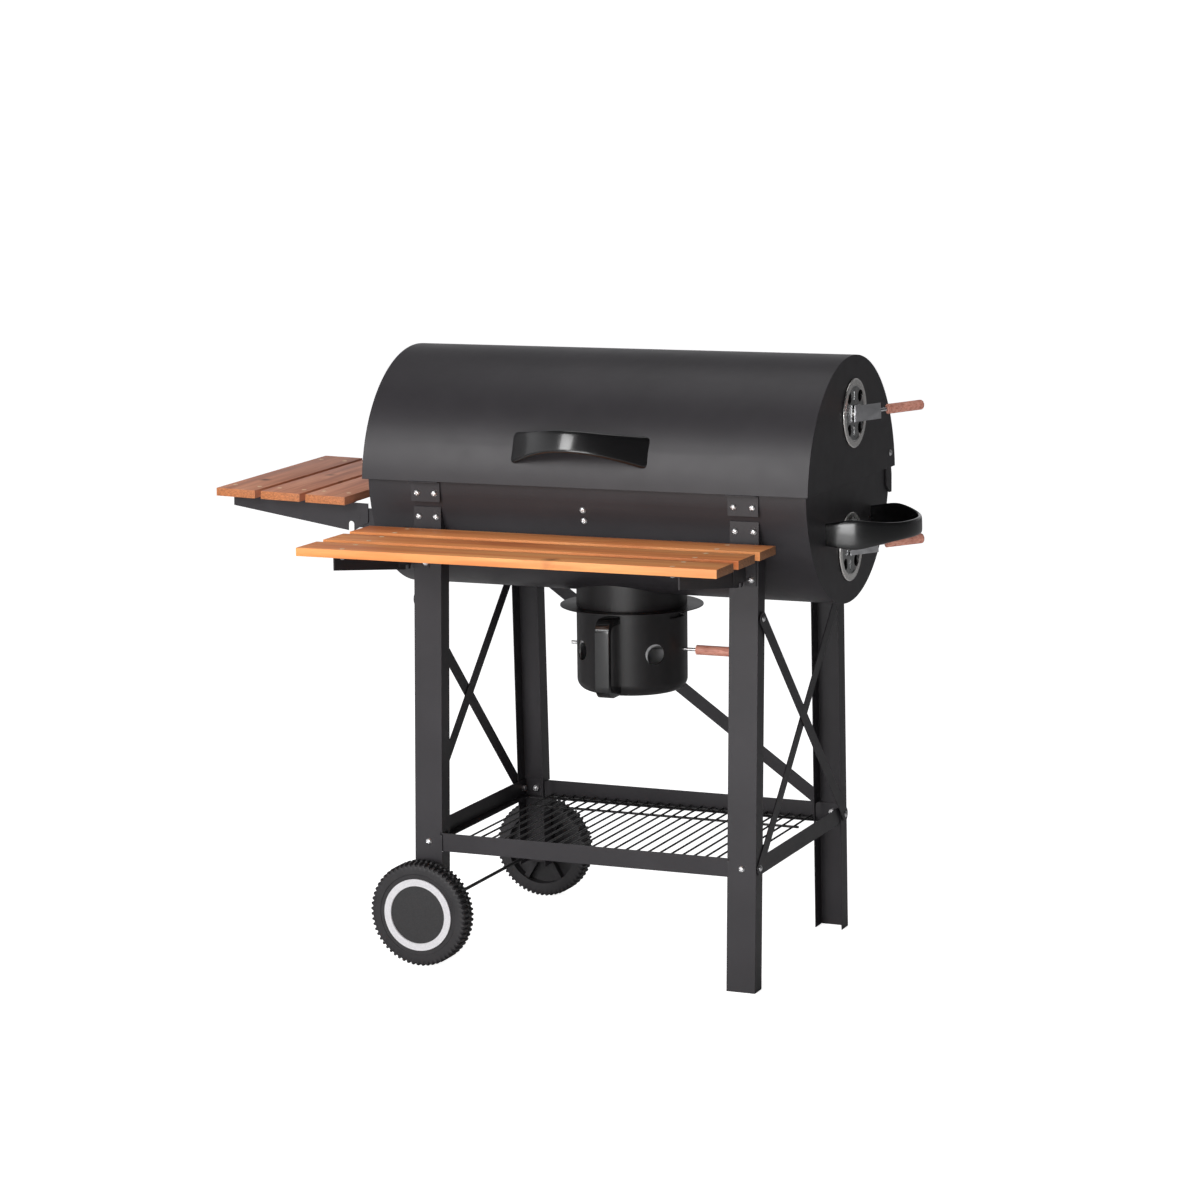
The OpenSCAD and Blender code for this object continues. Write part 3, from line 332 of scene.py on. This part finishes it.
def vent_plate(name, joint):
    """Pressed steel. Its rolled rim is painted near white as a painted highlight, and its hub is painted paler
    too; both are told apart by their distance from the pivot.
    """
    s = Shader(name, (0.4, 0.41, 0.41), 0.24, metal=1.0)
    decimetres = s.math("MULTIPLY", s.distance(joint_at(joint), "YZ"), 10)
    # mask of the painted highlight along the rolled rim, and of the paler hub
    rim = s.ramp(decimetres, (0.1, 0.7), (0.13, 0.0), (0.45, 0.0), (0.49, 1.0))
    cloud = s.noise(45, 4)
    web = s.ramp(cloud, (0.3, (0.24, 0.25, 0.25)), (0.7, (0.42, 0.42, 0.42)))
    # the near-white colour is the painted highlight on the rim, and the paler hub
    s.color(s.mix(rim, web, (0.95, 0.93, 0.9)))
    s.rough(cloud, 0.2, 0.34)
    s.soft_edges(0.0006)
    s.bump(s.noise(260, 2), 0.00006, 0.25)
    return s.mat


def plug_wood(name):
    """Pale filler wood, across the grain."""
    s = Shader(name, (0.72, 0.45, 0.24), 0.55)
    s.color(s.ramp(s.noise(160, 4), (0.3, (0.85, 0.52, 0.28)), (0.65, (0.98, 0.75, 0.5))))
    s.bump(s.noise(700, 3), 0.0001, 0.4)
    return s.mat


M = {
    "coat": powder_coat("satin_powder_coat", (0.028, 0.0255, 0.029), 0.42),
    "pot": powder_coat("pot_powder_coat", (0.013, 0.012, 0.013), 0.38),
    "wire": powder_coat("rack_powder_coat", (0.02, 0.019, 0.02), 0.4, 0.0002),
    "gloss": gloss_black("gloss_black"),
    "zinc": plated("bright_zinc", (0.92, 0.92, 0.93), 0.36),
    "bracket": plated("vent_bracket_chrome", (0.85, 0.85, 0.87), 0.1, 0.03, 0.0006),
    "lid_disc": vent_plate("lid_vent_steel", "lid_vent_turn"),
    "bowl_disc": vent_plate("bowl_vent_steel", "bowl_vent_turn"),
    "chrome": plated("grate_chrome", (0.74, 0.74, 0.75), 0.16),
    "front": timber("front_shelf_wood", "x",
                    ((0.58, 0.18, 0.055), (0.84, 0.305, 0.1), (0.95, 0.44, 0.175)),
                    knots=(6, 6, 0.4), seed=3.1, end=(0.5, 0.22, 0.1)),
    "side": timber("side_shelf_wood", "y",
                   ((0.36, 0.13, 0.075), (0.62, 0.265, 0.16), (0.78, 0.4, 0.26)),
                   knots=(8, 9, 0.4), seed=7.7, end=(0.6, 0.21, 0.075)),
    "grip": turned_wood("turned_grip_wood"),
    "tyre": moulded("tyre_plastic", (0.024, 0.0225, 0.0245), 0.5),
    "cap": hub_cap("hub_cap"),
    "plug": plug_wood("plug_wood"),
}
LOOK_OF = {
    "black_coat": "coat", "black_wire": "wire", "gloss_black": "gloss", "zinc": "zinc",
    "grate_chrome": "chrome", "grip_wood": "grip", "front_shelf_wood": "front",
    "side_shelf_wood": "side", "wheel_black": "tyre", "cap_silver": "cap",
}
LOOK = {n: LOOK_OF[slot] for n, slot in SLOT_OF.items()}
LOOK["lid_vent_disc"], LOOK["bowl_vent_disc"] = "lid_disc", "bowl_disc"
LOOK["lid_vent_lever"] = LOOK["bowl_vent_lever"] = "bracket"
LOOK["ash_pot"] = LOOK["ash_collar"] = "pot"
for name, obj in NODES.items():
    obj.data.materials.clear()
    obj.data.materials.append(M[LOOK[name]])


# ---- helpers ---------------------------------------------------------------------------------

def skin(bm, rings):
    """Joins each closed ring of corners to the next with quads."""
    for a, b in zip(rings, rings[1:]):
        for k in range(len(a)):
            after = (k + 1) % len(a)
            bm.faces.new((a[k], a[after], b[after], b[k]))


def piece(name, bm, look, node, angle=40):
    """Makes an object of bm that rides on a CAD node's body, smooth below an edge angle."""
    mesh = bpy.data.meshes.new(name)
    for e in bm.edges:
        e.smooth = len(e.link_faces) == 2 and e.calc_face_angle(0) < math.radians(angle)
    for f in bm.faces:
        f.smooth = True
    bm.to_mesh(mesh)
    bm.free()
    obj = bpy.data.objects.new(name, mesh)
    scene.collection.objects.link(obj)
    mesh.materials.append(M[look])
    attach(obj, BODY_OF[node])
    return obj


def rounded(node, radius, segments=3, angle=50):
    """Replaces a CAD node with a copy whose sharp edges are rolled over."""
    bm = bmesh.new()
    bm.from_mesh(NODES[node].data)
    bmesh.ops.remove_doubles(bm, verts=bm.verts, dist=2e-5)
    bmesh.ops.dissolve_limit(bm, angle_limit=math.radians(1), verts=bm.verts, edges=bm.edges)
    sharp = [e for e in bm.edges
             if len(e.link_faces) == 2 and e.calc_face_angle(0) > math.radians(angle)]
    bmesh.ops.bevel(bm, geom=sharp, offset=radius, segments=segments, profile=0.5,
                    affect="EDGES", clamp_overlap=True)
    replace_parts(piece(node + "_rounded", bm, LOOK[node], node), node)


def islands(node):
    """The separate solids of a node, each an array of its corners."""
    bm = bmesh.new()
    bm.from_mesh(NODES[node].data)
    bmesh.ops.remove_doubles(bm, verts=bm.verts, dist=1e-5)
    seen, out = set(), []
    for start in bm.verts:
        if start in seen:
            continue
        group, stack = [], [start]
        seen.add(start)
        while stack:
            v = stack.pop()
            group.append(v.co[:])
            for e in v.link_edges:
                w = e.other_vert(v)
                if w not in seen:
                    seen.add(w)
                    stack.append(w)
        out.append(np.array(group))
    bm.free()
    return out


def screw_axis(points):
    """Where a screw's head ends and which way its shank points, and the whole length."""
    middle = (points.max(0) + points.min(0)) / 2
    centre = points.mean(0)
    axis = np.linalg.svd(points - centre, full_matrices=False)[2][0]
    t = (points - middle) @ axis
    radial = np.linalg.norm(points - middle - np.outer(t, axis), axis=1)
    if t[radial.argmax()] > 0:
        axis, t = -axis, -t
    low, high = t.min(), t.max()
    centre = centre - axis * ((centre - middle) @ axis)
    return Vector(centre + axis * low), Vector(axis), high - low


def aligned(at, z):
    """The matrix that puts a piece made along +Z at a point, pointing along z."""
    return Matrix.Translation(at) @ z.to_track_quat("Z", "Y").to_matrix().to_4x4()


def lathe(bm, profile, matrix, steps=32, cap=False):
    """Turns (radius, height) points round +Z of the matrix."""
    rings = []
    for r, h in profile:
        angles = (TURN * k / steps for k in range(steps))
        rings.append([bm.verts.new(matrix @ Vector((r * math.cos(a), r * math.sin(a), h)))
                      for a in angles])
    skin(bm, rings)
    if cap:
        bm.faces.new(rings[0][::-1])
        bm.faces.new(rings[-1])


# ---- bolts and screws ------------------------------------------------------------------------

def cross_head(bm, matrix, radius, height, turn):
    """A domed head with a cross recess, its crown at z = 0 and its seat at z = height."""
    rings, steps = 11, 48
    recess = 0.3 * height
    grid = []
    for i in range(1, rings + 1):
        r = radius * i / rings
        ring = []
        for k in range(steps):
            a = TURN * k / steps
            off = sorted((abs(r * math.cos(a + turn)), abs(r * math.sin(a + turn))))
            slot = off[0] < 0.13 * radius and off[1] < 0.5 * radius
            z = height * (i / rings) ** 2.4 + (recess if slot else 0)
            ring.append(bm.verts.new(matrix @ Vector((r * math.cos(a), r * math.sin(a), z))))
        grid.append(ring)
    crown = bm.verts.new(matrix @ Vector((0, 0, recess)))
    for k in range(steps):
        bm.faces.new((crown, grid[0][(k + 1) % steps], grid[0][k]))
    skin(bm, grid)
    seat = bm.verts.new(matrix @ Vector((0, 0, height)))
    for k in range(steps):
        bm.faces.new((grid[-1][k], grid[-1][(k + 1) % steps], seat))


def fasteners(node, radius, height, shank):
    """Replaces a node's bolts or screws with cross-headed ones, each turned its own way."""
    chamfer = 0.0006
    bm = bmesh.new()
    for n, points in enumerate(islands(node)):
        at, axis, length = screw_axis(points)
        m = aligned(at, axis)
        cross_head(bm, m, radius, height, 0.5 + 1.3 * n)
        lathe(bm, [(shank, height * 0.98), (shank, length - chamfer), (shank - chamfer, length)],
              m, 20, True)
    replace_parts(piece(node + "_cross_head", bm, "zinc", node, 25), node)


fasteners("m6_bolts", *BOLT)
fasteners("front_shelf_screws", *WOOD_SCREW)
fasteners("side_shelf_screws", *WOOD_SCREW)


def plugs(node, board):
    """Filled plugs in the boards' top faces, in line with the screws below."""
    r = PLUG_RADIUS
    bm = bmesh.new()
    for points in islands(node):
        at, axis, _ = screw_axis(points)
        m = aligned(at + axis * PLUG_REACH, axis)
        lathe(bm, [(r, -0.0004), (r, 0), (r - 0.0002, 0.00015), (r * 0.5, 0.0002)], m, 24, True)
    piece(node + "_plugs", bm, "plug", board, 60)


plugs("front_shelf_screws", "front_board_1")
plugs("side_shelf_screws", "side_board_1")


# ---- boards and handles ----------------------------------------------------------------------

for side in ("front", "side"):
    for number in (1, 2, 3):
        rounded(f"{side}_board_{number}", BOARD_EDGE)
rounded("ash_pot_handle", POT_HANDLE_EDGE, 4, 60)


def moulded_strap(node, matrix, half, rise, power, feet, middle, waist, thick):
    """A crowned handle that bows out from its feet. Drawn along X, standing off towards -Y."""
    def out(u):
        """How far the handle stands off at u, which runs from -1 to 1."""
        return rise * math.cos(TURN / 4 * u) ** power

    bm = bmesh.new()
    loops, across, along, du = [], 20, 36, 1e-3
    for station in range(-along, along + 1):
        u = math.sin(TURN / 4 * station / along)
        lo, hi = max(-1, u - du), min(1, u + du)
        tangent = Vector((half * (hi - lo), -(out(hi) - out(lo)), 0)).normalized()
        outward = tangent.cross(Vector((0, 0, 1)))
        if outward.y > 0:
            outward = -outward
        height = middle + (feet - middle) * abs(u) ** waist
        inset = 1 - min((1 - abs(u)) * half / HANDLE_END, 1)
        shrink = 0.66 + 0.34 * math.sqrt(1 - inset * inset)
        centre = Vector((half * u, -out(u), 0)) - outward * thick / 2
        loop = []
        for k in range(across):
            # the cross section is a rounded box, a superellipse
            a = TURN * k / across
            c, t = math.cos(a), math.sin(a)
            flat = math.copysign(abs(c) ** 0.4, c) * height / 2 * shrink
            deep = math.copysign(abs(t) ** 0.62, t) * thick / 2 * shrink
            loop.append(bm.verts.new(matrix @ (centre + outward * deep + Vector((0, 0, flat)))))
        loops.append(loop)
    skin(bm, loops)
    bm.faces.new(loops[0])
    bm.faces.new(loops[-1][::-1])
    bmesh.ops.recalc_face_normals(bm, faces=bm.faces)
    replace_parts(piece(node + "_moulded", bm, "gloss", node, 70), node)


def handles():
    """The lid's handle, square to its lower front, and the one on the bowl's right end."""
    lid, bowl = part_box("lid"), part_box("bowl")
    centre = (lid[0] + lid[1]) / 2
    radius = (lid[1].y - lid[0].y) / 2
    axis_z = lid[1].z - radius
    on_lid = (Matrix.Translation((centre.x - 0.003, centre.y, axis_z))
              @ Matrix.Rotation(math.radians(-19.6), 4, "X")
              @ Matrix.Translation((0, -radius + 0.001, 0)))
    moulded_strap("lid_handle", on_lid, *LID_HANDLE)
    on_bowl = (Matrix.Translation((bowl[1].x, centre.y, BOWL_HANDLE_HEIGHT))
               @ Matrix.Rotation(math.radians(-1.6), 4, "Y")
               @ Matrix.Rotation(math.radians(90), 4, "Z"))
    moulded_strap("bowl_handle", on_bowl, *BOWL_HANDLE)


handles()


# ---- wheels ----------------------------------------------------------------------------------

def wheel(node, outward):
    """A moulded wheel: knobbed tread, rounded shoulders, and a spoked inner side."""
    low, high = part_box(node)
    width = high[1] - low[1]
    radius = (high[2] - low[2]) / 2
    inner = low[1] if outward > 0 else high[1]
    m = Matrix.Translation((AXLE[0], inner, AXLE[2])) @ Matrix.Rotation(
        math.radians(-90 * outward), 4, "X")
    bm = bmesh.new()
    half = STEPS_PER_KNOB // 2
    steps = KNOBS * STEPS_PER_KNOB
    rim = radius - RIM_DEPTH
    # (radius, distance from the inner face, tread row: 0 none, 1 and 2 the two rows of knobs)
    section = [(rim, 0.001, 0), (radius - 0.0125, 0.0, 0), (radius - 0.0072, 0.0004, 0),
               (radius - 0.003, 0.0009, 1), (radius, 0.004, 1), (radius, 0.0165, 1),
               (radius - KNOB_DEPTH, 0.0172, 0), (radius - KNOB_DEPTH, 0.0208, 0),
               (radius, 0.0215, 2), (radius, 0.034, 2), (radius - 0.003, width - 0.0009, 2),
               (radius - 0.0072, width - 0.0004, 0), (radius - 0.0125, width, 0),
               (radius - 0.0195, width, 0), (radius - 0.0205, width - 0.0012, 0),
               (radius - 0.0285, width - 0.0015, 0)]
    rings = []
    for r, h, row in section:
        ring = []
        for k in range(steps):
            phase = (k + (half if row == 2 else 0)) % STEPS_PER_KNOB
            at = r - (KNOB_DEPTH if row and phase >= half else 0)
            a = TURN * k / steps
            ring.append(bm.verts.new(m @ Vector((at * math.cos(a), at * math.sin(a), h))))
        rings.append(ring)
    skin(bm, rings)
    # the web, with ribs and a hub on the inner side
    lathe(bm, [(rim, 0.001), (rim, 0.020), (0.0185, 0.022), (0.0165, 0.0205), (0.0155, 0.0022),
               (0.0145, 0.001), (0.0031, 0.001), (0.0031, 0.026), (0.015, 0.026),
               (rim, 0.0255), (rim - 0.0045, width - 0.0015)], m, 96)
    for k in range(6):
        spoke = m @ Matrix.Rotation(math.radians(60 * k), 4, "Z")
        v = [bm.verts.new(spoke @ Vector((x, y, z)))
             for x in (0.0148, rim + 0.0005) for y in (-0.005, 0.005) for z in (0.007, 0.0225)]
        for f in ((0, 1, 3, 2), (4, 6, 7, 5), (0, 2, 6, 4), (1, 5, 7, 3), (0, 4, 5, 1),
                  (2, 3, 7, 6)):
            bm.faces.new([v[j] for j in f])
    bmesh.ops.recalc_face_normals(bm, faces=bm.faces)
    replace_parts(piece(node + "_knobbed", bm, "tyre", node, 38), node)


wheel("wheel_front", -1)
wheel("wheel_rear", 1)


# ---- camera, light and floor -----------------------------------------------------------------

def place_camera():
    """The view from front right, a little above, at a long focal length."""
    az, el, roll = (math.radians(a) for a in CAMERA_ANGLES)
    back = Vector((math.sin(az) * math.cos(el), -math.cos(az) * math.cos(el), math.sin(el)))
    right = (-back).cross(Vector((0, 0, 1))).normalized()
    up = right.cross(-back)
    across = right * math.cos(roll) + up * math.sin(roll)
    above = up * math.cos(roll) - right * math.sin(roll)
    data = bpy.data.cameras.new("camera")
    data.lens = CAMERA_LENS
    data.sensor_width = CAMERA_SENSOR
    data.clip_end = 60
    cam = bpy.data.objects.new("camera", data)
    rotation = Matrix((across, above, back)).transposed().to_4x4()
    cam.matrix_world = Matrix.Translation(CAMERA_AT) @ rotation
    scene.collection.objects.link(cam)
    scene.camera = cam


def area_light(name, at, target, size, power):
    """A soft white rectangle of light, facing the target."""
    data = bpy.data.lights.new(name, "AREA")
    data.shape = "RECTANGLE"
    data.size, data.size_y = size
    data.energy = power
    obj = bpy.data.objects.new(name, data)
    at = Vector(at)
    obj.matrix_world = aligned(at, at - Vector(target))
    scene.collection.objects.link(obj)


def surround():
    """White to the camera. What it lights with is darker above and towards +X, at the barrel's
    vented end."""
    world = bpy.data.worlds.new("room")
    world.use_nodes = True
    tree = world.node_tree
    bg = tree.nodes["Background"]
    out = tree.nodes["World Output"]
    coords = tree.nodes.new("ShaderNodeTexCoord")
    parts = tree.nodes.new("ShaderNodeSeparateXYZ")
    tree.links.new(coords.outputs["Generated"], parts.inputs[0])

    def span(value, low, high, at_low, at_high):
        """Goes smoothly from one strength to another as value goes from low to high."""
        m = tree.nodes.new("ShaderNodeMapRange")
        m.interpolation_type = "SMOOTHSTEP"
        for key, strength in (("From Min", low), ("From Max", high),
                              ("To Min", at_low), ("To Max", at_high)):
            m.inputs[key].default_value = strength
        tree.links.new(value, m.inputs["Value"])
        return m.outputs["Result"]

    product = tree.nodes.new("ShaderNodeMath")
    product.operation = "MULTIPLY"
    tree.links.new(span(parts.outputs["Z"], 0.12, 0.75, 0.72, 0.1), product.inputs[0])
    tree.links.new(span(parts.outputs["X"], -0.5, 0.8, 1.0, 0.12), product.inputs[1])
    tree.links.new(product.outputs[0], bg.inputs["Strength"])
    bg.inputs["Color"].default_value = (0.98, 0.98, 1, 1)
    white = tree.nodes.new("ShaderNodeBackground")
    white.inputs["Color"].default_value = (1, 1, 1, 1)
    white.inputs["Strength"].default_value = 1.05
    path = tree.nodes.new("ShaderNodeLightPath")
    mix = tree.nodes.new("ShaderNodeMixShader")
    tree.links.new(path.outputs["Is Camera Ray"], mix.inputs[0])
    tree.links.new(bg.outputs[0], mix.inputs[1])
    tree.links.new(white.outputs[0], mix.inputs[2])
    tree.links.new(mix.outputs[0], out.inputs["Surface"])
    scene.world = world


def floor():
    """A plain pale floor that looks white to the camera but lights nothing."""
    bm = bmesh.new()
    bmesh.ops.create_grid(bm, x_segments=1, y_segments=1, size=30)
    mesh = bpy.data.meshes.new("floor")
    bm.to_mesh(mesh)
    bm.free()
    obj = bpy.data.objects.new("floor", mesh)
    scene.collection.objects.link(obj)
    s = Shader("floor", (0.9, 0.9, 0.9), 0.9, Specular_IOR_Level=0.05,
               Emission_Color=(1, 1, 1, 1))
    seen = s.math("MULTIPLY", s.node("ShaderNodeLightPath").outputs["Is Camera Ray"], 0.9)
    s.wire(seen, s.bsdf.inputs["Emission Strength"])
    s.color(s.ramp(s.noise(0.6, 2), (0.3, (0.89, 0.89, 0.89)), (0.7, (0.91, 0.91, 0.91))))
    mesh.materials.append(s.mat)


place_camera()
surround()
floor()
for light in LIGHTS:
    area_light(*light)
scene.view_settings.view_transform = "Standard"
scene.view_settings.look = "None"
